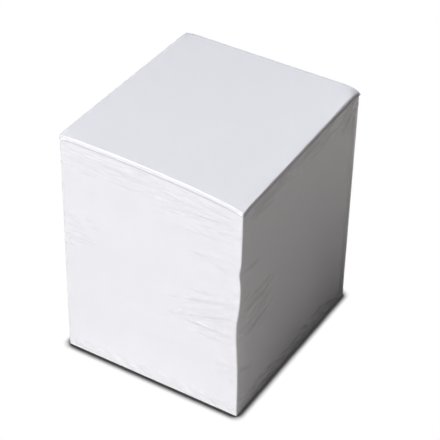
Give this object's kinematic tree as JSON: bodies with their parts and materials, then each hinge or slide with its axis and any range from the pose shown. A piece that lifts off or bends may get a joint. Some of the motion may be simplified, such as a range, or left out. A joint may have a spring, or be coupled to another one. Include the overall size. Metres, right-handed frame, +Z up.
{
  "type": "memo cube refill",
  "caption": "Tall block of loose square-cut white note paper sealed in clear shrink film, with a trim seal under the top edge and gathers round a crushed front edge.",
  "frame": {"origin": "middle of the underside of the wrapped block", "axes": "+Z up the stack, +X to the right along the sheets' width, front face towards -Y"},
  "size_m": [0.0911, 0.1011, 0.1176],
  "materials": {
    "note_paper": "matt",
    "shrink_film": "gloss"
  },
  "bodies": {
    "root": {"paper_block": "note_paper", "shrink_film": "shrink_film"}
  },
  "joints": []
}
